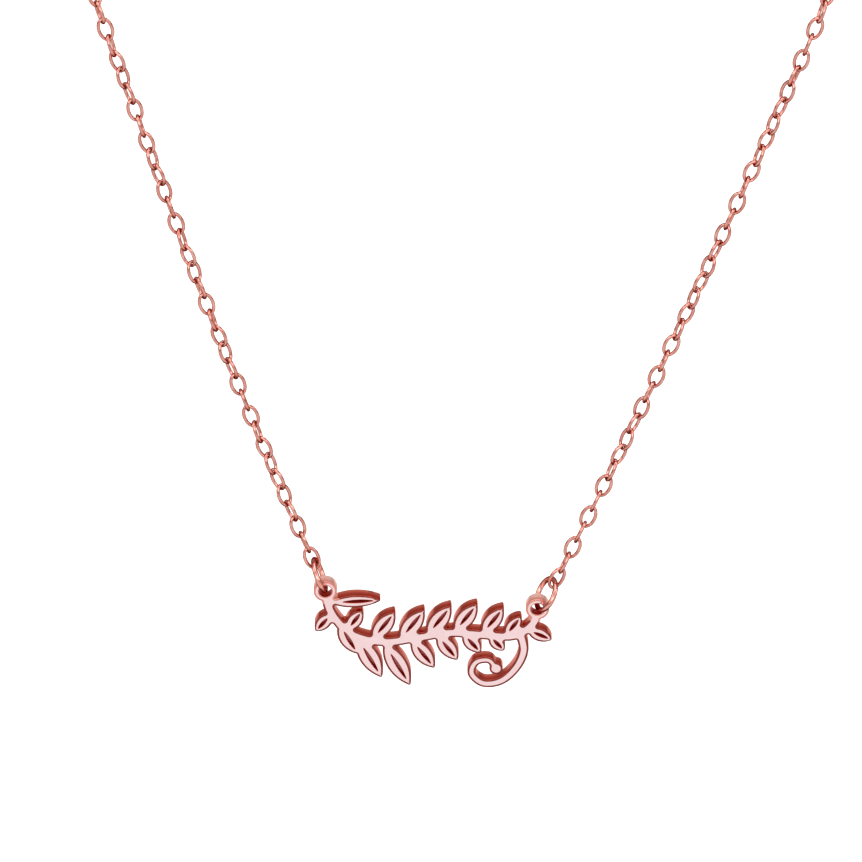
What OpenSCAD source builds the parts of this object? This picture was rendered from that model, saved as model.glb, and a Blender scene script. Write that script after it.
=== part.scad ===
// Nameplate necklace: an openwork garland plate hung by two jump rings on a cable chain.
// Millimetres, +Z up, the front towards -Y. The origin is the nape of the neck, where the
// inner side of the clasp rests.

/* [Loop] */
// Width of the loop over the shoulders
loop_width = 109.2; // [90:0.1:130]
// Distance from the nape to the plane that the front of the necklace hangs in
loop_depth = 71; // [60:0.5:85]
// Height of the nape above the lowest chosen points of the chain
front_drop = 107.8; // [95:0.1:130]
// Distance from those points down to the middle of the garland
plate_gap = 21.8; // [20:0.1:24]
// Distance of the garland's middle from the nape's, to the left
plate_shift = 4.28; // [0:0.02:6]

/* [Plate] */
// Distance between the two eyelet centres, measured level
eyelet_span = 29.8; // [26:0.2:34]
// Height of the left eyelet above the right one
eyelet_step = 2.9; // [1:0.1:4]
// Height of the right eyelet above the middle of the garland
eyelet_rise = 4.5; // [3.5:0.1:6]
// Reach of the lowest curl below the middle of the garland
plate_drop = 8.3; // [7:0.1:10]
// Thickness of the plate
plate_t = 1.75; // [1.2:0.05:2]
// Outside diameter of an eyelet
eyelet_d = 3.3; // [3.2:0.1:4.2]
// Diameter of the hole in an eyelet
eyelet_hole = 1.84; // [1.8:0.02:2.2]
// Width of the garland's stem
stem_w = 1.5; // [1:0.1:2]
// Width of the tendril where it leaves the stem
tendril_w = 1.45; // [1:0.05:1.8]
// Width of the tendril at its end
tendril_tip_w = 1; // [0.7:0.05:1.4]
// Diameter of the bud that ends the tendril
bud_d = 1.9; // [1.5:0.1:2.6]
// Length of an ordinary leaf
leaf_len = 5.6; // [4.6:0.1:6.4]
// Width of an ordinary leaf
leaf_w = 2.5; // [1.9:0.05:2.8]
// Width of the slit pierced along a leaf
slit_w = 0.44; // [0.3:0.02:0.6]
// Radius that rounds the inner and outer corners
corner_r = 0.16; // [0.08:0.02:0.24]

/* [Jump rings] */
// Outside diameter of a jump ring
ring_d = 5.4; // [5:0.1:6.4]
// Diameter of the wire of a jump ring
ring_wire = 0.76; // [0.6:0.02:0.8]
// Turn of the left ring from square to the plate
ring_turn_left = 0; // [-10:1:10]
// Turn of the right ring from square to the plate
ring_turn_right = 14; // [-18:1:18]
// Lean of the right ring outwards from the line of its strand
ring_lean_right = 6; // [0:1:14]
// Distance of the ring's wire from the middle of the eyelet's hole
ring_seat = 0; // [-0.1:0.02:0.1]

/* [Chain] */
// Diameter of the chain's wire
wire_d = 0.46; // [0.38:0.01:0.47]
// Outside width of a link
link_w = 2.38; // [2.3:0.02:2.7]
// Length that each link adds to the chain
link_pitch = 2.73; // [2.5:0.01:3.2]
// Free play between two links
link_play = 0.16; // [0.14:0.01:0.22]
// Free play between an end link and the jump ring or clasp that it hangs on
end_play = 0.36; // [0.33:0.01:0.42]

/* [Clasp] */
// Outside diameter of the clasp's ring
clasp_d = 6; // [5:0.1:8]
// Diameter of the clasp's wire
clasp_wire = 1; // [0.8:0.05:1.1]
// Outside diameter of the eye on the clasp
clasp_eye_d = 2.8; // [2.6:0.1:3.6]
// Diameter of the eye's wire
clasp_eye_wire = 0.7; // [0.5:0.05:0.8]
// Depth to which the eye is soldered into the ring
clasp_solder = 0.35; // [0.2:0.05:0.5]

/* [Hidden] */

plate_colour = [0.95, 0.84, 0.85];
chain_colour = [0.80, 0.45, 0.39];
link_sides = 10;
wire_sides = 5;
ring_facets = 48;
leaf_facets = 40;
corner_facets = 12;
slit_from = 0.28;
slit_share = 0.56;
route_steps = 12;
stem_steps = 6;
through = 1;

// Middle of the garland
plate_at = [-plate_shift, -loop_depth, -front_drop - plate_gap];
half_span = eyelet_span / 2;
eyelet_left = [-half_span, eyelet_rise + eyelet_step];
eyelet_right = [half_span, eyelet_rise];

// Chosen points of each strand, from its jump ring up, over the shoulder and round to the nape:
// shares of half the loop's width, of its depth and of the front's drop
route_left = [
    [-0.451, -1, -1], [-0.557, -1, -0.851], [-0.658, -1, -0.700], [-0.753, -1, -0.550],
    [-0.844, -1, -0.401], [-0.936, -0.994, -0.250], [-0.993, -0.880, -0.148], [-1, -0.690, -0.088],
    [-0.852, -0.359, -0.037], [-0.495, -0.092, -0.009]
];
route_right = [
    [0.346, -1, -1], [0.469, -1, -0.851], [0.590, -1, -0.700], [0.707, -1, -0.550],
    [0.821, -1, -0.401], [0.930, -0.994, -0.250], [0.993, -0.880, -0.148], [1, -0.690, -0.088],
    [0.852, -0.359, -0.037], [0.495, -0.092, -0.009]
];
// Direction that a link with no roll faces, and how far the front links of each strand have
// twisted: number of the link, counted from the jump ring, and its twist in degrees
link_face = [0, -0.87, 0.5];
twist_left = [[0, 0], [4, 31], [8, 70], [11, 95], [16, 180], [20, 245], [23, 290], [28, 365], [35, 479]];
twist_right = [[0, 30], [1, 8], [2, 0], [6, 0], [8, 44], [13, 90], [24, 180], [37, 300]];

// Points of the stem between the eyelets: shares of half the span and of the drop
stem_shape = [
    [-0.94, 0.46], [-0.75, 0.05], [-0.45, -0.10], [-0.14, -0.02],
    [0.17, 0.08], [0.48, 0.04], [0.77, 0.02], [0.95, 0.24]
];
// Points of the tendril, as the same shares
tendril_shape = [
    [0.84, 0.05], [0.87, -0.27], [0.80, -0.60], [0.66, -0.86], [0.49, -0.91],
    [0.38, -0.72], [0.42, -0.50], [0.54, -0.46], [0.61, -0.62]
];
// Leaves: share of the way along the stem, side, length and width as shares of an ordinary leaf's,
// and lean from level in degrees
leaves = [
    [0.05, 1, 1.36, 0.80, 3],
    [0.10, -1, 0.66, 0.84, 128],
    [0.15, -1, 1.02, 1.06, 62],
    [0.195, 1, 0.70, 0.88, 56],
    [0.30, 1, 1.02, 1.04, 55],
    [0.405, 1, 1.10, 1.08, 55],
    [0.51, 1, 1.08, 1.08, 55],
    [0.615, 1, 1.02, 1.04, 55],
    [0.72, 1, 0.96, 1.00, 55],
    [0.81, 1, 0.70, 0.84, 56],
    [0.24, -1, 1.36, 1.16, 62],
    [0.345, -1, 1.44, 1.16, 62],
    [0.45, -1, 1.04, 1.04, 55],
    [0.55, -1, 0.92, 1.00, 55],
    [0.65, -1, 0.72, 0.92, 52],
    [0.75, -1, 0.58, 0.80, 50],
    [0.90, -1, 0.70, 0.84, 26]
];

function unit(v) = v / norm(v);
function square_to(v, t) = unit(v - (v * t) * t);

// Smooth curve through the points of a list, and its running length
function curve_at(p, i, u) =
    let (a = p[max(i - 1, 0)], b = p[i], c = p[i + 1], d = p[min(i + 2, len(p) - 1)])
    b + ((c - a) * u + (2 * a - 5 * b + 4 * c - d) * u * u + (3 * b - a - 3 * c + d) * u * u * u) / 2;
function curve(p, steps) =
    [each [for (i = [0:len(p) - 2], k = [0:steps - 1]) curve_at(p, i, k / steps)], p[len(p) - 1]];
function lengths(c) =
    [for (i = 0, s = 0; i < len(c); s = s + (i < len(c) - 1 ? norm(c[i + 1] - c[i]) : 0), i = i + 1) s];
function tables(c) =
    let (s = lengths(c))
    [for (k = [0:len(c[0]) - 1]) [for (i = [0:len(c) - 1]) [s[i], c[i][k]]]];
function point_at(t, s) = [for (axis = t) lookup(s, axis)];
function total(t) = t[0][len(t[0]) - 1][0];

// Outline of a strip that follows a flat curve, from one width to another
function strip(c, w0, w1) =
    let (
        last = len(c) - 1,
        side = [for (i = [0:last])
            let (d = unit(c[min(i + 1, last)] - c[max(i - 1, 0)])) [-d[1], d[0]] * (w0 + (w1 - w0) * i / last) / 2]
    )
    [each [for (i = [0:last]) c[i] + side[i]], each [for (i = [last:-1:0]) c[i] - side[i]]];

function garland(shape) = [for (p = shape) [p[0] * half_span, p[1] * plate_drop]];
stem_line = curve([eyelet_left, each garland(stem_shape), eyelet_right], stem_steps);
stem_tables = tables(stem_line);
tendril_line = curve(garland(tendril_shape), stem_steps);

// A leaf between two arcs, from its foot at the origin along +X
module lens(length, width) {
    r = (length * length / 4 + width * width / 4) / width;
    translate([length / 2, 0]) intersection() {
        translate([0, r - width / 2]) circle(r, $fn = leaf_facets);
        translate([0, width / 2 - r]) circle(r, $fn = leaf_facets);
    }
}

module on_leaf(row) {
    foot = point_at(stem_tables, row[0] * total(stem_tables));
    translate(foot) rotate(row[1] * row[4]) children();
}

module garland_outline() {
    polygon(strip(stem_line, stem_w, stem_w));
    polygon(strip(tendril_line, tendril_w, tendril_tip_w));
    translate(tendril_line[len(tendril_line) - 1]) circle(d = bud_d, $fn = leaf_facets);
    for (row = leaves) on_leaf(row) lens(leaf_len * row[2], leaf_w * row[3]);
    for (e = [eyelet_left, eyelet_right]) translate(e) circle(d = eyelet_d, $fn = leaf_facets);
}

module rounded() {
    offset(r = -corner_r, $fn = corner_facets)
        offset(r = 2 * corner_r, $fn = corner_facets)
            offset(r = -corner_r, $fn = corner_facets) children();
}

module slits() {
    for (row = leaves) on_leaf(row)
        translate([leaf_len * row[2] * slit_from, 0]) lens(leaf_len * row[2] * slit_share, slit_w);
}

module nameplate() {
    color(plate_colour) translate(plate_at) difference() {
        rotate([90, 0, 0]) linear_extrude(plate_t, center = true) difference() {
            rounded() garland_outline();
            slits();
        }
        for (e = [eyelet_left, eyelet_right])
            translate([e[0], 0, e[1]]) rotate([90, 0, 0])
                cylinder(d = eyelet_hole, h = plate_t + 2 * through, center = true, $fn = ring_facets);
    }
}

// A placed frame: X along t, Z along n
module placed(at, t, n) {
    w = cross(n, t);
    multmatrix([
        [t[0], w[0], n[0], at[0]],
        [t[1], w[1], n[1], at[1]],
        [t[2], w[2], n[2], at[2]]
    ]) children();
}

module ring(d, wire) {
    rotate_extrude($fn = ring_facets) translate([(d - wire) / 2, 0]) circle(d = wire, $fn = ring_facets);
}

function route(shares) =
    [for (p = shares) [p[0] * loop_width / 2, p[1] * loop_depth, p[2] * front_drop]];
way_left = route(route_left);
way_right = route(route_right);

// Each jump ring hangs from the strand's first point and passes through its eyelet
ring_r = (ring_d - ring_wire) / 2;
function eyelet_at(e) = plate_at + [e[0], 0, e[1]];
function pull(e, way, lean) =
    let (t = unit(way[0] - eyelet_at(e))) t * cos(lean) + cross([0, 1, 0], t) * sin(lean);
function ring_centre(e, t) = eyelet_at(e) + t * (ring_seat + ring_r);
function ring_axis(t, turn) = cross([0, 1, 0], t) * cos(turn) + [0, 1, 0] * sin(turn);
pull_left = pull(eyelet_left, way_left, 0);
pull_right = pull(eyelet_right, way_right, ring_lean_right);

module jump_ring_left() {
    color(chain_colour)
        placed(ring_centre(eyelet_left, pull_left), pull_left, ring_axis(pull_left, ring_turn_left))
            ring(ring_d, ring_wire);
}

module jump_ring_right() {
    color(chain_colour)
        placed(ring_centre(eyelet_right, pull_right), pull_right, ring_axis(pull_right, ring_turn_right))
            ring(ring_d, ring_wire);
}

// The clasp lies flat on the nape: a ring, and an eye soldered to its left side
clasp_r = (clasp_d - clasp_wire) / 2;
clasp_eye_r = (clasp_eye_d - clasp_eye_wire) / 2;
clasp_step = (clasp_d + clasp_eye_d) / 2 - clasp_solder;
clasp_y = clasp_wire / 2;
clasp_ring_x = (clasp_step + clasp_eye_d / 2 - clasp_d / 2) / 2;
clasp_eye_x = clasp_ring_x - clasp_step;

module clasp() {
    color(chain_colour) {
        translate([clasp_ring_x, clasp_y, 0]) rotate([90, 0, 0]) ring(clasp_d, clasp_wire);
        translate([clasp_eye_x, clasp_y, 0]) rotate([90, 0, 0]) ring(clasp_eye_d, clasp_eye_wire);
    }
}

// Joints between the links, evenly spaced from the seat on the jump ring's wire to the clasp's
function joints(first, way, last) =
    let (
        t = tables(curve([first, each way, last], route_steps)),
        n = round(total(t) / link_pitch)
    )
    [for (i = [0:n]) point_at(t, total(t) * i / n)];
function seat(hold, wire, next) = hold - unit(next - hold) * (wire / 2 + end_play - link_play / 2);
function ring_joint(e, t, way) = seat(ring_centre(e, t) + t * ring_r, ring_wire, way[0]);
joints_left = joints(ring_joint(eyelet_left, pull_left, way_left), way_left,
    seat([clasp_eye_x - clasp_eye_r, clasp_y, 0], clasp_eye_wire, way_left[len(way_left) - 1]));
joints_right = joints(ring_joint(eyelet_right, pull_right, way_right), way_right,
    seat([clasp_ring_x + clasp_r, clasp_y, 0], clasp_wire, way_right[len(way_right) - 1]));

// Direction of each link, and its face carried along the strand without turning
function ways(j) = [for (i = [0:len(j) - 2]) unit(j[i + 1] - j[i])];
function carried(w) =
    [for (i = 0, n = square_to(link_face, w[0]); i < len(w);
        i = i + 1, n = i < len(w) ? square_to(n, w[i]) : n) n];

// Twist of link i: as the table says along the front, then evenly on to a last link that
// stands square to the clasp's wire
quarter = 90;
function table_end(table) = table[len(table) - 1];
function last_twist(w, n, table) =
    let (
        last = len(w) - 1,
        square = atan2([0, 1, 0] * n[last], [0, 1, 0] * cross(n[last], w[last])) - quarter * last,
        guess = table_end(table)[1] * last / table_end(table)[0]
    )
    square + 180 * round((guess - square) / 180);
function twist(i, last, table, end) =
    let (front = table_end(table), s = max(0, i - front[0]) / (last - front[0]))
    lookup(i, table) * (1 - s) + end * s;

// One link: an oval of wire around the origin, long along X, with a flat at each end to seat the next
module link(length) {
    half_step = 180 / link_sides;
    a = (length - wire_d) / 2 / cos(half_step);
    b = (link_w - wire_d) / 2;
    points = [for (k = [0:link_sides - 1], m = [0:wire_sides - 1])
        let (
            t = (2 * k + 1) * half_step,
            f = 360 * m / wire_sides,
            out = unit([b * cos(t), a * sin(t), 0])
        )
        [a * cos(t), b * sin(t), 0] + (out * cos(f) + [0, 0, sin(f)]) * wire_d / 2];
    function at(k, m) = (k % link_sides) * wire_sides + m % wire_sides;
    polyhedron(points, [for (k = [0:link_sides - 1], m = [0:wire_sides - 1], half = [0, 1])
        half == 0 ? [at(k, m), at(k, m + 1), at(k + 1, m + 1)] : [at(k, m), at(k + 1, m + 1), at(k + 1, m)]]);
}

module strand(j, table) {
    w = ways(j);
    n = carried(w);
    last = len(w) - 1;
    end = last_twist(w, n, table);
    color(chain_colour) for (i = [0:last]) {
        roll = quarter * i + twist(i, last, table, end);
        placed((j[i] + j[i + 1]) / 2, w[i], n[i]) rotate([roll, 0, 0])
            link(norm(j[i + 1] - j[i]) + 2 * wire_d + link_play);
    }
}

module chain_left() { strand(joints_left, twist_left); }
module chain_right() { strand(joints_right, twist_right); }

nameplate();
jump_ring_left();
jump_ring_right();
chain_left();
chain_right();
clasp();
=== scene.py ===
import math

import bmesh
import bpy
from mathutils import Matrix, Vector
from mathutils.bvhtree import BVHTree


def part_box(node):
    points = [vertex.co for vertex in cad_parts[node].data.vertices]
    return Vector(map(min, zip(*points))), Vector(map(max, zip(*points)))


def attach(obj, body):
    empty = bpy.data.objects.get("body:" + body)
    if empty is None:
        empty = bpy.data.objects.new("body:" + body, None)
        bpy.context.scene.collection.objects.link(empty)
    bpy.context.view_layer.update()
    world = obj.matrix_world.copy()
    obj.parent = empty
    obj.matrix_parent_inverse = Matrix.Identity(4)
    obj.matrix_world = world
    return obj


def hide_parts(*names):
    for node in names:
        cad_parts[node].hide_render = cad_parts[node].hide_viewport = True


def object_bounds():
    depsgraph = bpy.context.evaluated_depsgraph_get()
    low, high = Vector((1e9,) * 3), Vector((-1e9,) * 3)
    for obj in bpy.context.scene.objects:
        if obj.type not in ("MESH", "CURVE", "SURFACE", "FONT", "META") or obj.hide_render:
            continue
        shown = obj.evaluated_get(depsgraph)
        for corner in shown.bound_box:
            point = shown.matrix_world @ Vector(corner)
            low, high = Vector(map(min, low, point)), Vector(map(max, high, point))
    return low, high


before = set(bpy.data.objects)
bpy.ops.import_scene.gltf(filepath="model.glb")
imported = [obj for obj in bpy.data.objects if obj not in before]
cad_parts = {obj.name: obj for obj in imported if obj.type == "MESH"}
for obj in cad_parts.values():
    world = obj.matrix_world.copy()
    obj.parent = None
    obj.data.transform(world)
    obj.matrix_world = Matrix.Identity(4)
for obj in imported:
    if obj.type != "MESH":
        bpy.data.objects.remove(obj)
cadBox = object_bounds()
mm = 0.001
print("frame loaded")

# the picture is 120.7 mm wide at the plate, seen from 30 degrees above the level
cameraSet = {
    "aim": (-4.34 * mm, -71 * mm, -96.67 * mm),
    "elevation": 30,
    "halfWidth": 60.34 * mm,
    "distance": 4.0,
    "sensor": 36,
    "clip": (0.1, 40),
}


def linked(name, data):
    thing = bpy.data.objects.new(name, data)
    bpy.context.scene.collection.objects.link(thing)
    return thing


def makeCamera(s):
    data = bpy.data.cameras.new("camera")
    data.sensor_width = s["sensor"]
    data.lens = s["sensor"] / 2 * s["distance"] / s["halfWidth"]
    data.clip_start, data.clip_end = s["clip"]
    tilt = math.radians(s["elevation"])
    back = Vector((0, -math.cos(tilt), math.sin(tilt)))
    camera = linked("camera", data)
    camera.location = Vector(s["aim"]) + back * s["distance"]
    camera.rotation_mode = "QUATERNION"
    camera.rotation_quaternion = (-back).to_track_quat("-Z", "Y")
    bpy.context.scene.camera = camera


makeCamera(cameraSet)
bpy.context.scene.view_settings.view_transform = "Standard"


def addNode(tree, kind, inputs=None, **values):
    node = tree.nodes.new(kind)
    for key, value in values.items():
        setattr(node, key, value)
    for key, value in (inputs or {}).items():
        node.inputs[key].default_value = value
    return node


def join(tree, *rows):
    # each row: a node and its output, then the node and the input that it feeds
    for source, out, target, into in rows:
        tree.links.new(source.outputs[out], target.inputs[into])


def colourMix(tree, inputs=None):
    return addNode(tree, "ShaderNodeMix", inputs, data_type="RGBA")


def fade(tree, low, high):
    # 0 below the low value, 1 above the high one
    return addNode(tree, "ShaderNodeMapRange", {"From Min": low, "From Max": high})


def ramp(tree, stops):
    node = addNode(tree, "ShaderNodeValToRGB")
    points = node.color_ramp.elements
    while len(points) < len(stops):
        points.new(0.5)
    for point, (place, colour) in zip(points, stops):
        point.position = place
        point.color = (*colour, 1)
    return node


# shared effects, each a node group with named sockets
def newGroup(name, inputs, outputs):
    group = bpy.data.node_groups.new(name, "ShaderNodeTree")
    for label, kind, value in inputs:
        socket = group.interface.new_socket(label, in_out="INPUT", socket_type=kind)
        socket.default_value = value
    for label, kind in outputs:
        group.interface.new_socket(label, in_out="OUTPUT", socket_type=kind)
    return group, addNode(group, "NodeGroupInput"), addNode(group, "NodeGroupOutput")


# slow drifts of the plating's colour between a pale and a warm tone
toneSet = {
    "scale": 300.0, "amount": 0.3,
    "under": ("Base", (0.6, 0.2, 0.15, 1)),
    "over": ("Warm", (0.5, 0.1, 0.06, 1)),
    "noise": {"Detail": 3.0, "Roughness": 0.55},
    "fade": (0.35, 0.7),
}
# patches where the edges and the outsides of the wires are rubbed to a paler copper
rubbedSet = {
    "scale": 900.0, "amount": 0.5,
    "under": ("Color", (0.5, 0.1, 0.06, 1)),
    "over": ("Rubbed", (0.8, 0.4, 0.33, 1)),
    "noise": {"Detail": 4.0, "Roughness": 0.65},
    "fade": (0.48, 0.66),
}
# hairlines from the polishing wheel: a height for bump and a little change in roughness
polishSet = {
    "inputs": [("Scale", 3000.0), ("Stretch", 12.0), ("Roughness", 0.16), ("Spread", 0.06)],
    "fine": {"Detail": 2.0, "Roughness": 0.6},
    "broad": {"Scale": 220.0, "Detail": 2.0},
    "mean": 0.5,
    "strength": 0.25,
}


def makePatchGroup(name, s):
    under, over = s["under"], s["over"]
    group, start, end = newGroup(
        name,
        [("Scale", "NodeSocketFloat", s["scale"]), ("Amount", "NodeSocketFloat", s["amount"]),
         (under[0], "NodeSocketColor", under[1]), (over[0], "NodeSocketColor", over[1])],
        [("Color", "NodeSocketColor")])
    coord = addNode(group, "ShaderNodeTexCoord")
    noise = addNode(group, "ShaderNodeTexNoise", s["noise"])
    edge = fade(group, *s["fade"])
    part = addNode(group, "ShaderNodeMath", operation="MULTIPLY")
    mix = colourMix(group)
    join(group,
         (coord, "Object", noise, "Vector"),
         (start, "Scale", noise, "Scale"),
         (noise, "Fac", edge, "Value"),
         (edge, "Result", part, 0),
         (start, "Amount", part, 1),
         (part, 0, mix, "Factor"),
         (start, under[0], mix, "A"),
         (start, over[0], mix, "B"),
         (mix, "Result", end, "Color"))
    return group


def makePolishGroup(name, s):
    group, start, end = newGroup(
        name,
        [(label, "NodeSocketFloat", value) for label, value in s["inputs"]],
        [("Roughness", "NodeSocketFloat"), ("Height", "NodeSocketFloat")])
    coord = addNode(group, "ShaderNodeTexCoord")
    stretch = addNode(group, "ShaderNodeCombineXYZ", {"X": 1.0, "Y": 1.0})
    scaled = addNode(group, "ShaderNodeVectorMath", operation="MULTIPLY")
    fine = addNode(group, "ShaderNodeTexNoise", s["fine"])
    broad = addNode(group, "ShaderNodeTexNoise", s["broad"])
    centred = addNode(group, "ShaderNodeMath", {1: s["mean"]}, operation="SUBTRACT")
    part = addNode(group, "ShaderNodeMath", operation="MULTIPLY")
    total = addNode(group, "ShaderNodeMath", operation="ADD")
    join(group,
         (start, "Stretch", stretch, "Z"),
         (coord, "Object", scaled, 0),
         (stretch, 0, scaled, 1),
         (scaled, 0, fine, "Vector"),
         (start, "Scale", fine, "Scale"),
         (coord, "Object", broad, "Vector"),
         (broad, "Fac", centred, 0),
         (centred, 0, part, 0),
         (start, "Spread", part, 1),
         (part, 0, total, 0),
         (start, "Roughness", total, 1),
         (total, 0, end, "Roughness"),
         (fine, "Fac", end, "Height"))
    return group


platingTone = makePatchGroup("platingTone", toneSet)
polishLines = makePolishGroup("polishLines", polishSet)
rubbedPatches = makePatchGroup("rubbedPatches", rubbedSet)


def newMaterial(name, metallic):
    material = bpy.data.materials.new(name)
    material.use_nodes = True
    tree = material.node_tree
    tree.nodes.clear()
    shader = addNode(tree, "ShaderNodeBsdfPrincipled", {"Metallic": metallic})
    output = addNode(tree, "ShaderNodeOutputMaterial")
    join(tree, (shader, "BSDF", output, "Surface"))
    return material, tree, shader


def useGroup(tree, group, inputs):
    return addNode(tree, "ShaderNodeGroup", inputs, node_tree=group)


def addPlating(tree, s, grain):
    tone = useGroup(tree, platingTone, {**grain["drift"], "Base": s["base"], "Warm": s["warm"]})
    worn = useGroup(tree, rubbedPatches,
                    {**grain["patches"], "Amount": s["wear"], "Rubbed": s["rubbed"]})
    join(tree, (tone, "Color", worn, "Color"))
    return worn


def addPolish(tree, shader, s, grain):
    polish = useGroup(tree, polishLines, {**grain["lines"], "Roughness": s["roughness"]})
    bump = addNode(tree, "ShaderNodeBump",
                   {"Strength": polishSet["strength"], "Distance": grain["depth"]})
    join(tree,
         (polish, "Height", bump, "Height"),
         (polish, "Roughness", shader, "Roughness"),
         (bump, "Normal", shader, "Normal"))


# the fineness of the colour drifts, rubbed patches and polishing lines, and the lines' depth
faceGrain = {
    "drift": {"Scale": 90.0, "Amount": 0.35}, "patches": {"Scale": 520.0},
    "lines": {"Scale": 1800.0, "Stretch": 9.0, "Spread": 0.08}, "depth": 0.004 * mm,
}
wireGrain = {
    "drift": {"Scale": 260.0, "Amount": 0.45}, "patches": {"Scale": 900.0},
    "lines": {"Scale": 2200.0, "Stretch": 1.0, "Spread": 0.1}, "depth": 0.01 * mm,
}
wallGrain = {
    "drift": {"Scale": 420.0, "Amount": 0.3},
    "lines": {"Scale": 2600.0, "Stretch": 0.3, "Spread": 0.08}, "depth": 0.006 * mm,
}
# base, warm and rubbed are the plating's colours (paler on the face, painted light; darker on the
# rounded edge, painted shade), side is painted shade where a wire turns away
# the face's colours are a paler, lit copy of the plating: painted light standing in for the bright
# reflection on the face
paleLitFaceSet = {
    "base": (0.88, 0.665, 0.685, 1), "warm": (0.86, 0.61, 0.62, 1),
    "rubbed": (0.93, 0.77, 0.77, 1), "wear": 0.2, "roughness": 0.2,
}
# the rounded edge's colours are a darker copy of the plating: a painted shade outline round the
# face
darkEdgeShadeSet = {
    "base": (0.26, 0.045, 0.031, 1), "warm": (0.21, 0.030, 0.021, 1),
    "rubbed": (0.42, 0.11, 0.08, 1), "side": (0.22, 0.035, 0.024, 1),
    "rim": (0.6, 0.25, 0.2, 1), "wear": 0.3, "roughness": 0.34,
}
chainSet = {
    "base": (0.69, 0.31, 0.257, 1), "warm": (0.57, 0.205, 0.162, 1),
    "rubbed": (0.88, 0.57, 0.49, 1), "side": (0.43, 0.115, 0.085, 1),
    "rim": (0.5, 0.22, 0.18, 1), "wear": 0.5, "roughness": 0.15,
}
ringColourSet = {
    "base": (0.75, 0.35, 0.295, 1), "warm": (0.62, 0.22, 0.175, 1),
    "rubbed": (0.87, 0.59, 0.52, 1), "side": (0.46, 0.11, 0.08, 1),
    "rim": (0.5, 0.22, 0.18, 1), "wear": 0.4, "roughness": 0.12,
}
# the walls' colours run through the sheet, from its front to its back: painted shade near the
# front edge, a paler painted reflection towards the back
wallSet = {
    "front": (0.37, 0.024, 0.015), "middle": (0.61, 0.086, 0.055), "back": (0.98, 0.39, 0.31),
    "warm": (0.58, 0.08, 0.052, 1), "rim": (1.0, 0.86, 0.82, 1),
    "roughness": 0.18, "metallic": 1.0,
}
# the slits' walls are a darker copy of the wall colours: painted shade in the narrow cuts
shadedSlitSet = {
    "front": (0.32, 0.018, 0.010), "middle": (0.42, 0.032, 0.018), "back": (0.52, 0.08, 0.055),
    "warm": (0.34, 0.025, 0.014, 1), "rim": (0.6, 0.16, 0.11, 1),
    "roughness": 0.26, "metallic": 0.55,
}
# the eyelets' walls are a paler, lit copy of the wall colours: painted light
litEyeletSet = {
    "front": (0.58, 0.21, 0.165), "middle": (0.86, 0.54, 0.48), "back": (0.96, 0.76, 0.71),
    "warm": (0.80, 0.42, 0.36, 1), "rim": (0.9, 0.6, 0.52, 1),
    "roughness": 0.24, "metallic": 0.75,
}
sheetSet = {"front": -71.88 * mm, "back": -70.12 * mm, "middle": 0.45}
sideShadeSet = {"blend": 0.5, "turn": (0.22, 0.7)}


# the face's pale colour is painted light
def makeFaceMaterial(name, s):
    material, tree, shader = newMaterial(name, 1.0)
    worn = addPlating(tree, s, faceGrain)
    join(tree, (worn, "Color", shader, "Base Color"))
    addPolish(tree, shader, s, faceGrain)
    return material


def makeWireMaterial(name, s):
    # painted shade: the colour deepens where the wire's round side turns away
    material, tree, shader = newMaterial(name, 1.0)
    shader.inputs["Specular Tint"].default_value = s["rim"]
    worn = addPlating(tree, s, wireGrain)
    away = addNode(tree, "ShaderNodeLayerWeight", {"Blend": sideShadeSet["blend"]})
    side = fade(tree, *sideShadeSet["turn"])
    paintedSideShade = colourMix(tree, {"B": s["side"]})
    join(tree,
         (away, "Facing", side, "Value"),
         (side, "Result", paintedSideShade, "Factor"),
         (worn, "Color", paintedSideShade, "A"),
         (paintedSideShade, "Result", shader, "Base Color"))
    addPolish(tree, shader, s, wireGrain)
    return material


def makeWallMaterial(name, s):
    # painted shade and reflection: deep red at the front edge, paler towards the back
    material, tree, shader = newMaterial(name, s["metallic"])
    shader.inputs["Specular Tint"].default_value = s["rim"]
    coord = addNode(tree, "ShaderNodeTexCoord")
    apart = addNode(tree, "ShaderNodeSeparateXYZ")
    place = fade(tree, sheetSet["front"], sheetSet["back"])
    colours = ramp(tree, [(0.0, s["front"]), (sheetSet["middle"], s["middle"]), (1.0, s["back"])])
    tone = useGroup(tree, platingTone, {**wallGrain["drift"], "Warm": s["warm"]})
    join(tree,
         (coord, "Object", apart, 0),
         (apart, "Y", place, "Value"),
         (place, "Result", colours, "Fac"),
         (colours, "Color", tone, "Base"),
         (tone, "Color", shader, "Base Color"))
    addPolish(tree, shader, s, wallGrain)
    return material


plateMaterials = {
    "face": makeFaceMaterial("paleFacePaintedLight", paleLitFaceSet),
    "wall": makeWallMaterial("cutWallPaintedShadeAndReflection", wallSet),
    "edge": makeWireMaterial("roundedEdgePaintedShade", darkEdgeShadeSet),
    "eyelet": makeWallMaterial("eyeletWallPaintedLight", litEyeletSet),
    "slit": makeWallMaterial("deepRedSlitWall", shadedSlitSet),
}
chainMaterial = makeWireMaterial("roseGoldChainWire", chainSet)
ringMaterial = makeWireMaterial("roseGoldRingWire", ringColourSet)
claspMaterial = makeWireMaterial("roseGoldClaspWire", ringColourSet)
print("materials made")

touching = 1e-7
slant = (0.5477, 0.3391, 0.7649)


def alongSlant(part):
    # how far along the slant a vertex lies, or the middle of an edge or face
    verts = [part] if isinstance(part, bmesh.types.BMVert) else part.verts
    return sum(a * b for v in verts for a, b in zip(v.co, slant)) / len(verts)


def mergedCopy(node):
    bm = bmesh.new()
    bm.from_mesh(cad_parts[node].data)
    bmesh.ops.remove_doubles(bm, verts=bm.verts, dist=touching)
    bm.verts.index_update()
    return bm


def mergedPoints(node):
    bm = mergedCopy(node)
    points = [v.co.copy() for v in bm.verts]
    bm.free()
    return points


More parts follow.
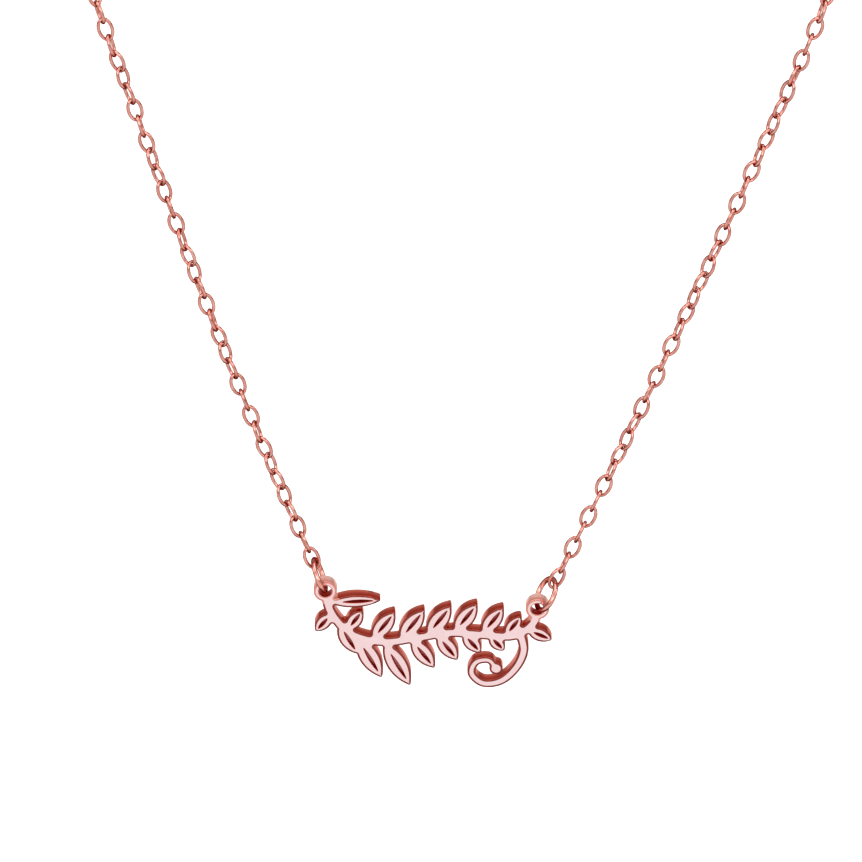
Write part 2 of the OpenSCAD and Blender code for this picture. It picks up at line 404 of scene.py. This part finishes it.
def newMesh(bm, name):
    # sorted along the slant, so that each run gives the same mesh
    bmesh.ops.recalc_face_normals(bm, faces=bm.faces)
    for parts in (bm.verts, bm.edges, bm.faces):
        parts.sort(key=alongSlant)
        parts.index_update()
    mesh = bpy.data.meshes.new(name)
    bm.to_mesh(mesh)
    bm.free()
    return mesh


def finishPiece(bm, name, body, nodes, materials, smooth=True):
    mesh = newMesh(bm, name)
    for material in materials:
        mesh.materials.append(material)
    if smooth:
        mesh.shade_smooth()
    piece = linked(name, mesh)
    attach(piece, body)
    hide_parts(*nodes)
    return piece


principalSet = {
    "rounds": 200,
    "first": Vector((0.61, 0.53, 0.59)),
    "nudge": Vector((0.01, 0.02, 0.03)),
}


def strongest(matrix, guess):
    # the direction that the matrix stretches most, and by how much
    for _ in range(principalSet["rounds"]):
        guess = (matrix @ guess).normalized()
    return guess, (matrix @ guess).dot(guess)


def principalFrame(points):
    # the middle of some points, and the directions of their most, middle and least spread
    centre = sum(points, Vector()) / len(points)
    rows = [[0.0] * 3 for _ in range(3)]
    for p in points:
        q = (p - centre) / mm
        for i in range(3):
            for j in range(3):
                rows[i][j] += q[i] * q[j]
    spread = Matrix(rows)
    first, power = strongest(spread, principalSet["first"])
    taken = Matrix([[first[i] * first[j] * power for j in range(3)] for i in range(3)])
    guess = first.orthogonal().normalized() + principalSet["nudge"]
    second, _ = strongest(spread - taken, guess)
    second = (second - first * second.dot(first)).normalized()
    return centre, first, second, first.cross(second)


def placeOf(centre, along, across, normal):
    place = Matrix((along, across, normal)).transposed().to_4x4()
    place.translation = centre
    return place


def islands(bm):
    # the vertices of each link, in the order of the mesh
    seen = set()
    for start in bm.verts:
        if start in seen:
            continue
        seen.add(start)
        group = [start]
        for vert in group:  # grows on the way
            for e in vert.link_edges:
                other = e.other_vert(vert)
                if other not in seen:
                    seen.add(other)
                    group.append(other)
        yield sorted(group, key=lambda v: v.index)


def addOval(bm, halfLength, halfWidth, wire, s, place):
    # a ring spun from a round section, then drawn out to an oval with the same wire all round
    middle = (halfLength + halfWidth) / 2
    made = bmesh.ops.create_circle(bm, cap_ends=False, segments=s["sides"], radius=wire / 2)
    verts = made["verts"]
    bmesh.ops.rotate(bm, verts=verts, cent=(0, 0, 0), matrix=Matrix.Rotation(math.pi / 2, 3, "X"))
    bmesh.ops.translate(bm, verts=verts, vec=(middle, 0, 0))
    edges = list(dict.fromkeys(e for v in verts for e in v.link_edges))
    before = set(bm.verts)
    bmesh.ops.spin(bm, geom=verts + edges, cent=(0, 0, 0), axis=(0, 0, 1), angle=2 * math.pi,
                   steps=s["steps"], use_merge=True, use_duplicate=False)
    ring = [v for v in bm.verts if v not in before] + [v for v in verts if v.is_valid]
    for v in ring:
        turn = math.atan2(v.co.y, v.co.x)
        out = math.hypot(v.co.x, v.co.y) - middle
        c, d = math.cos(turn), math.sin(turn)
        normal = Vector((halfWidth * c, halfLength * d, 0)).normalized()
        v.co = Vector((halfLength * c, halfWidth * d, v.co.z)) + normal * out
    bmesh.ops.transform(bm, matrix=place, verts=ring)


linkSet = {
    "wire": 0.53 * mm,  # thicker than in the solids: real links touch
    "endProud": 0.066 * mm,  # makes up for the flats of the solids' links and for the rounding
    "sideProud": 0.014 * mm,
    "steps": 12,
    "sides": 6,
    "roundings": 1,
}


def drawnIn(count):
    # how far one subdivision draws a ring of so many points towards its middle
    return (3 + math.cos(2 * math.pi / count)) / 4


def makeChain(node, name, s):
    cad = mergedCopy(node)
    bm = bmesh.new()
    oval, tube = drawnIn(s["steps"]), drawnIn(s["steps"]) * drawnIn(s["sides"])
    for group in islands(cad):
        centre, along, across, normal = principalFrame([v.co.copy() for v in group])
        reach = max((v.co - centre).dot(along) for v in group) + s["endProud"]
        width = max((v.co - centre).dot(across) for v in group) + s["sideProud"]
        addOval(bm, (reach - s["wire"] / 2) / oval, (width - s["wire"] / 2) / oval,
                s["wire"] / tube, s, placeOf(centre, along, across, normal))
    cad.free()
    piece = finishPiece(bm, name, "necklace", [node], [chainMaterial])
    rounder = piece.modifiers.new("rounder", "SUBSURF")
    rounder.levels = rounder.render_levels = s["roundings"]


makeChain("chain_left", "cableLinksLeft", linkSet)
makeChain("chain_right", "cableLinksRight", linkSet)
print("chains made")

ringSet = {"steps": 96, "sides": 24}


def makeJumpRing(node, name, s):
    points = mergedPoints(node)
    centre, along, across, normal = principalFrame(points)
    wire = 2 * max(abs((p - centre).dot(normal)) for p in points)
    radius = max((p - centre).length for p in points) - wire / 2
    bm = bmesh.new()
    addOval(bm, radius, radius, wire, s, placeOf(centre, along, across, normal))
    finishPiece(bm, name, "pendant", [node], [ringMaterial])


makeJumpRing("jump_ring_left", "jumpRingLeft", ringSet)
makeJumpRing("jump_ring_right", "jumpRingRight", ringSet)
print("jump rings made")

plateSet = {
    # width of the rounded rim on the face, at each kind of outline
    "rim": {"outer": 0.30 * mm, "slit": 0.09 * mm, "hole": 0.16 * mm},
    "rimDepth": 0.06 * mm,
    "rimSteps": 4,
    "share": 0.4,  # the rim takes no more than this of narrow metal
    "widest": 3 * mm,
    "slope": 0.5,  # the fastest that the rim's width changes along the outline
    "ease": 0.8,
    "tip": 0.004 * mm,  # the rim's width at a corner
    "corner": 40,  # turns sharper than this, in degrees, stay sharp
    "bend": 0.02,  # turns smaller than this, in radians, count as straight
    "step": 0.1 * mm,
    "mostSteps": 6,
    "least": 0.015 * mm,  # shorter edges of the outline are left out
    "eyeletReach": 2.1 * mm,
    "holeReach": 0.3 * mm,  # how near to a hole's middle its own outline's middle lies
    "oval": 1.15,  # an outline with a greater ratio of radii is no circle
    "facing": -0.99,
    "weld": 1e-6,
}


def frontLoops(node, s):
    # the closed outlines of the plate's front face, and the depths of its front and back
    bm = mergedCopy(node)
    front = {f for f in bm.faces if f.normal.y < s["facing"]}
    rim = [e for e in bm.edges
           if len(e.link_faces) == 2 and sum(f in front for f in e.link_faces) == 1]
    nextEdges = {}
    for e in rim:
        for v in e.verts:
            nextEdges.setdefault(v, []).append(e)
    loops, used = [], set()
    for e in rim:
        if e in used:
            continue
        start, vert, edge, loop = e.verts[0], e.verts[0], e, []
        while True:
            used.add(edge)
            loop.append(Vector((vert.co.x, vert.co.z)))
            vert = edge.other_vert(vert)
            if vert == start:
                break
            edge = next(x for x in nextEdges[vert] if x is not edge)
        loops.append(loop)
    deep = [v.co.y for f in bm.faces for v in f.verts]
    low, high = min(deep), max(deep)
    bm.free()
    return loops, low, high


def middleOf(points):
    return sum(points, Vector((0, 0))) / len(points)


def roundHoles(loops, s):
    # middles of the outlines that are circles: the two eyelets
    middles = []
    for loop in loops:
        middle = middleOf(loop)
        reach = [(p - middle).length for p in loop]
        if max(reach) < s["oval"] * min(reach):
            middles.append(middle)
    return middles


def sidesOf(points):
    # each side's direction and length, from its point to the next one
    sides = [points[(i + 1) % len(points)] - points[i] for i in range(len(points))]
    return [side.normalized() for side in sides], [side.length for side in sides]


def smoothLoop(loop, s):
    # rounds the facets of the curves, and leaves true corners
    loop = [p for i, p in enumerate(loop) if (p - loop[i - 1]).length > s["least"]]
    count = len(loop)
    way, size = sidesOf(loop)
    heading = []
    for i in range(count):
        turn = math.degrees(way[i - 1].angle(way[i], 0.0))
        even = (way[i - 1] * size[i] + way[i] * size[i - 1]).normalized()
        heading.append((way[i - 1], way[i]) if turn > s["corner"] else (even, even))
    points = []
    for i in range(count):
        a, b = loop[i], loop[(i + 1) % count]
        pieces = max(1, min(s["mostSteps"], round(size[i] / s["step"])))
        ta, tb = heading[i][1] * size[i], heading[(i + 1) % count][0] * size[i]
        for k in range(pieces):
            u = k / pieces
            points.append(a * (2 * u**3 - 3 * u**2 + 1) + ta * (u**3 - 2 * u**2 + u)
                          + b * (3 * u**2 - 2 * u**3) + tb * (u**3 - u**2))
    return points


def turned(points, inside):
    # the outline with the metal on its left
    area = sum(points[i - 1].cross(points[i]) for i in range(len(points)))
    return points if (area > 0) == inside else points[::-1]


def makeOutlines(loops, holes, s):
    outer = max(loops, key=lambda loop: max(p.x for p in loop) - min(p.x for p in loop))
    outlines = []
    for loop in loops:
        points = turned(smoothLoop(loop, s), loop is outer)
        middle = middleOf(points)
        isRound = any((middle - hole).length < s["holeReach"] for hole in holes)
        outlines.append((points, "outer" if loop is outer else "hole" if isRound else "slit"))
    return outlines


def outlineWalls(outlines):
    # the outlines as low walls, to measure across the metal with
    corners, quads = [], []
    for points, _ in outlines:
        first = len(corners)
        for i, p in enumerate(points):
            corners += [(p.x, -mm, p.y), (p.x, mm, p.y)]
            a, b = first + 2 * i, first + 2 * ((i + 1) % len(points))
            quads.append((a, b, b + 1, a + 1))
    return BVHTree.FromPolygons(corners, quads)


def rimWidths(points, walls, width, s):
    # the way into the metal at each point, and the rim's width: less in narrow metal, at corners
    count = len(points)
    way, size = sidesOf(points)
    inward, room = [], []
    for i in range(count):
        even = (way[i - 1] + way[i]).normalized()
        inward.append(Vector((-even.y, even.x)))
        start = points[i] + inward[i] * s["tip"]
        hit = walls.ray_cast((start.x, 0, start.y), (inward[i].x, 0, inward[i].y), s["widest"])
        far = hit[3]
        room.append(min(width, s["share"] * far) if far else width)
    for i in range(count):
        turn = -way[i - 1].angle_signed(way[i], 0.0)
        if turn > math.radians(s["corner"]):
            room[i] = s["tip"]
            steep = s["ease"] * math.tan((math.pi - turn) / 2)
            for side in (1, -1):
                away, k = 0.0, i
                while s["tip"] + steep * away < width:
                    away += size[k] if side == 1 else size[k - 1]
                    k = (k + side) % count
                    room[k] = min(room[k], s["tip"] + steep * away)
        elif turn > s["bend"]:
            room[i] = min(room[i], s["ease"] * (size[i - 1] + size[i]) / 2 / turn)
    for i in list(range(count)) * 2:
        room[i] = min(room[i], room[i - 1] + size[i - 1] * s["slope"])
    for i in list(range(count - 1, -1, -1)) * 2:
        room[i] = min(room[i], room[(i + 1) % count] + size[i] * s["slope"])
    return zip(inward, room)


def drawFace(bm, tag, outlines, holes, depth, s):
    # the face: the outlines drawn in by the rim, filled. A vertex's tag is its row of the table,
    # which says where the rim starts and stops there, and at what kind of outline
    walls = outlineWalls(outlines)
    table, ends = [], []
    for points, kind in outlines:
        ring = []
        widths = rimWidths(points, walls, s["rim"][kind], s)
        for p, (inward, room) in zip(points, widths):
            start = p + inward * room
            near = any((p - hole).length < s["eyeletReach"] for hole in holes)
            v = bm.verts.new((start.x, depth, start.y))
            v[tag] = len(table)
            table.append((start, p, "eyelet" if near and kind == "outer" else kind))
            ring.append(v)
        ends += [bm.edges.new((ring[i - 1], ring[i])) for i in range(len(ring))]
    bmesh.ops.triangle_fill(bm, use_beauty=True, use_dissolve=False, edges=ends)
    return table, ends


def paintPlate(bm, tag, table, low, high, s):
    # which material each face has, and which edges stay sharp
    slots = list(plateMaterials)
    for f in bm.faces:
        deep = [v.co.y for v in f.verts]
        kinds = {table[v[tag]][2] for v in f.verts}
        flat = max(deep) < low + touching or min(deep) > high - touching
        wall = max(deep) - min(deep) > s["rimDepth"] * 2
        if flat:
            slot = "face"
        elif kinds == {"eyelet"} or (not wall and kinds & {"eyelet", "hole"}):
            slot = "eyelet"
        elif wall:
            slot = "wall" if kinds <= {"outer", "eyelet"} else "slit"
        else:
            slot = "slit" if "slit" in kinds else "edge"
        f.material_index = slots.index(slot)
        f.smooth = not flat
    for e in bm.edges:
        e.smooth = e.calc_face_angle(0) < math.radians(s["corner"])


def makePlate(node, name, s):
    loops, low, high = frontLoops(node, s)
    holes = roundHoles(loops, s)
    middle = (low + high) / 2
    bm = bmesh.new()
    tag = bm.verts.layers.int.new("outline")
    table, ends = drawFace(bm, tag, makeOutlines(loops, holes, s), holes, low, s)

    # the rim in steps of a quarter turn, then the wall to half the depth
    for k in range(1, s["rimSteps"] + 2):
        made = bmesh.ops.extrude_edge_only(bm, edges=ends)["geom"]
        ends = [e for e in made if isinstance(e, bmesh.types.BMEdge)]
        turn = math.pi / 2 * min(k / s["rimSteps"], 1)
        depth = low + s["rimDepth"] * (1 - math.cos(turn)) if k <= s["rimSteps"] else middle
        for v in made:
            if isinstance(v, bmesh.types.BMVert):
                start, stop, _ = table[v[tag]]
                place = start.lerp(stop, math.sin(turn))
                v.co = (place.x, depth, place.y)
    bmesh.ops.mirror(bm, geom=bm.verts[:] + bm.edges[:] + bm.faces[:], axis="Y", merge_dist=0,
                     matrix=Matrix.Translation((0, -middle, 0)))
    seam = [v for v in bm.verts if abs(v.co.y - middle) < s["weld"]]
    bmesh.ops.remove_doubles(bm, verts=seam, dist=s["weld"])
    bmesh.ops.recalc_face_normals(bm, faces=bm.faces)
    paintPlate(bm, tag, table, low, high, s)
    finishPiece(bm, name, "pendant", [node], plateMaterials.values(),
                smooth=False)


makePlate("nameplate", "garlandPlate", plateSet)
print("plate made")

claspSet = {"steps": 96, "sides": 28, "clear": 0.2}


def makeClasp(node, name, s):
    # two rings soldered side by side
    corner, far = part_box(node)
    bigSpan, bigWire = far.z - corner.z, far.y - corner.y
    middleY = (corner.y + far.y) / 2
    bigCentre = Vector((far.x - bigSpan / 2, middleY, (corner.z + far.z) / 2))
    end = bigCentre.x - bigSpan / 2 - bigWire * s["clear"]
    left = [p for p in mergedPoints(node) if p.x < end]
    smallSpan = 2 * max(abs(p.z) for p in left)
    smallWire = 2 * max(abs(p.y - middleY) for p in left)
    smallCentre = Vector((corner.x + smallSpan / 2, middleY, 0))
    upright = Matrix.Rotation(math.pi / 2, 4, "X")
    shells = []
    for centre, span, wire in ((bigCentre, bigSpan, bigWire), (smallCentre, smallSpan, smallWire)):
        bm = bmesh.new()
        radius = (span - wire) / 2
        addOval(bm, radius, radius, wire, s, Matrix.Translation(centre) @ upright)
        shells.append(linked("shell", newMesh(bm, "shell")))
    solder = shells[0].modifiers.new("solder", "BOOLEAN")
    solder.operation, solder.solver, solder.object = "UNION", "EXACT", shells[1]
    whole = shells[0].evaluated_get(bpy.context.evaluated_depsgraph_get())
    mesh = bpy.data.meshes.new_from_object(whole)
    for shell in shells:
        bpy.data.objects.remove(shell)
    bm = bmesh.new()
    bm.from_mesh(mesh)
    finishPiece(bm, name, "necklace", [node], [claspMaterial])


makeClasp("clasp", "claspRing", claspSet)
print("clasp made")

floorSet = {
    "drop": 0.20,
    "half": 9.0,
    "cells": 2,
    "surface": {"Roughness": 0.9, "Specular IOR Level": 0.1},
    "paper": (0.92, 0.92, 0.92, 1),
    # the tones in the metal's reflections: in front, behind, far behind and underneath, the back
    # and under ones a painted shadow behind and beneath the object
    "front": (0.60, 0.59, 0.58, 1),
    "back": (0.40, 0.25, 0.21, 1),
    "farBack": (0.62, 0.57, 0.56, 1),
    "under": (0.16, 0.05, 0.035, 1),
    # where the front passes into the back, and how far out the other two change
    "sweep": 0.12,
    "shadowFade": (0.105, 0.18),
    "farFade": (0.399, 0.546),
}
lights = [
    # name, place, size, brightness
    ("topBox", (0.0, -0.1, 1.3), (1.6, 1.6), 1.6),
    ("frontBox", (-0.1, -1.6, 0.35), (1.6, 0.45), 2.4),
    ("rightBox", (0.95, -0.35, 0.35), (0.25, 0.7), 2.6),
    ("leftBox", (-0.95, -0.25, 0.4), (0.25, 0.7), 2.6),
]
skySet = {
    "paper": (1.0, 1.0, 1.0, 1),  # what the camera sees past the floor
    "fill": (1.15, 1.15, 1.15, 1),  # what lights the floor
    # what the metal reflects at each height, in front of the object and behind it
    "front": [(0.0, (0.50, 0.34, 0.30)), (0.2, (0.95, 0.80, 0.76)), (0.5, (1.75, 1.60, 1.55)),
              (0.78, (0.70, 0.52, 0.48)), (1.0, (0.46, 0.36, 0.34))],
    "rear": [(0.0, (0.34, 0.19, 0.155)), (0.25, (0.44, 0.30, 0.27)), (0.5, (0.60, 0.48, 0.45)),
             (0.75, (0.42, 0.28, 0.24)), (1.0, (0.46, 0.36, 0.34))],
    "turn": (-0.8, 0.2),
}


def makeFloor(s):
    # plain paper to the eye; in the metal's reflections it darkens beneath and behind the object,
    # a painted shadow that only the reflections show
    level = cadBox[0].z - s["drop"]
    bm = bmesh.new()
    bmesh.ops.create_grid(bm, x_segments=s["cells"], y_segments=s["cells"], size=s["half"])
    bmesh.ops.translate(bm, verts=bm.verts, vec=(0, 0, level))
    mesh = bpy.data.meshes.new("floor")
    bm.to_mesh(mesh)
    bm.free()
    floor = linked("floor", mesh)
    material, tree, shader = newMaterial("palePaper", 0.0)
    for key, value in s["surface"].items():
        shader.inputs[key].default_value = value
    middle = Vector((0, cameraSet["aim"][1], level))
    coord = addNode(tree, "ShaderNodeTexCoord")
    apart = addNode(tree, "ShaderNodeSeparateXYZ")
    apartness = addNode(tree, "ShaderNodeVectorMath", {1: middle}, operation="DISTANCE")
    sweep = fade(tree, middle.y - s["sweep"], middle.y + s["sweep"])
    far = fade(tree, *s["farFade"])
    out = fade(tree, *s["shadowFade"])
    rear = colourMix(tree, {"A": s["back"], "B": s["farBack"]})
    around = colourMix(tree, {"A": s["front"]})
    # a painted shadow beneath the object, seen only in reflections
    paintedFloorShadow = colourMix(tree, {"A": s["under"]})
    ray = addNode(tree, "ShaderNodeLightPath")
    tone = colourMix(tree, {"A": s["paper"]})
    join(tree,
         (coord, "Object", apart, 0),
         (apart, "Y", sweep, "Value"),
         (coord, "Object", apartness, 0),
         (apartness, "Value", out, "Value"),
         (apartness, "Value", far, "Value"),
         (far, "Result", rear, "Factor"),
         (rear, "Result", around, "B"),
         (sweep, "Result", around, "Factor"),
         (out, "Result", paintedFloorShadow, "Factor"),
         (around, "Result", paintedFloorShadow, "B"),
         (ray, "Is Glossy Ray", tone, "Factor"),
         (paintedFloorShadow, "Result", tone, "B"),
         (tone, "Result", shader, "Base Color"))
    mesh.materials.append(material)


def makeLight(name, place, size, brightness):
    data = bpy.data.lights.new(name, "AREA")
    data.shape = "RECTANGLE"
    data.size, data.size_y = size
    data.energy = brightness * math.pi * size[0] * size[1]
    lamp = linked(name, data)
    lamp.location = place
    toAim = Vector(cameraSet["aim"]) - Vector(place)
    lamp.rotation_euler = toAim.to_track_quat("-Z", "Y").to_euler()
    lamp.visible_camera = False


def makeWorld(s):
    world = bpy.data.worlds.new("studio")
    bpy.context.scene.world = world
    world.use_nodes = True
    tree = world.node_tree
    tree.nodes.clear()
    coord = addNode(tree, "ShaderNodeTexCoord")
    apart = addNode(tree, "ShaderNodeSeparateXYZ")
    front, rear = ramp(tree, s["front"]), ramp(tree, s["rear"])
    behind = fade(tree, *s["turn"])
    around = colourMix(tree)
    ray = addNode(tree, "ShaderNodeLightPath")
    plain = colourMix(tree, {"A": s["fill"], "B": s["paper"]})
    sky = colourMix(tree)
    background = addNode(tree, "ShaderNodeBackground")
    output = addNode(tree, "ShaderNodeOutputWorld")
    join(tree,
         (coord, "Generated", apart, 0),
         (apart, "Z", front, "Fac"),
         (apart, "Z", rear, "Fac"),
         (apart, "Y", behind, "Value"),
         (behind, "Result", around, "Factor"),
         (front, "Color", around, "A"),
         (rear, "Color", around, "B"),
         (ray, "Is Camera Ray", plain, "Factor"),
         (ray, "Is Glossy Ray", sky, "Factor"),
         (plain, "Result", sky, "A"),
         (around, "Result", sky, "B"),
         (sky, "Result", background, "Color"),
         (background, 0, output, "Surface"))


makeFloor(floorSet)
for light in lights:
    makeLight(*light)
makeWorld(skySet)
print("studio made")
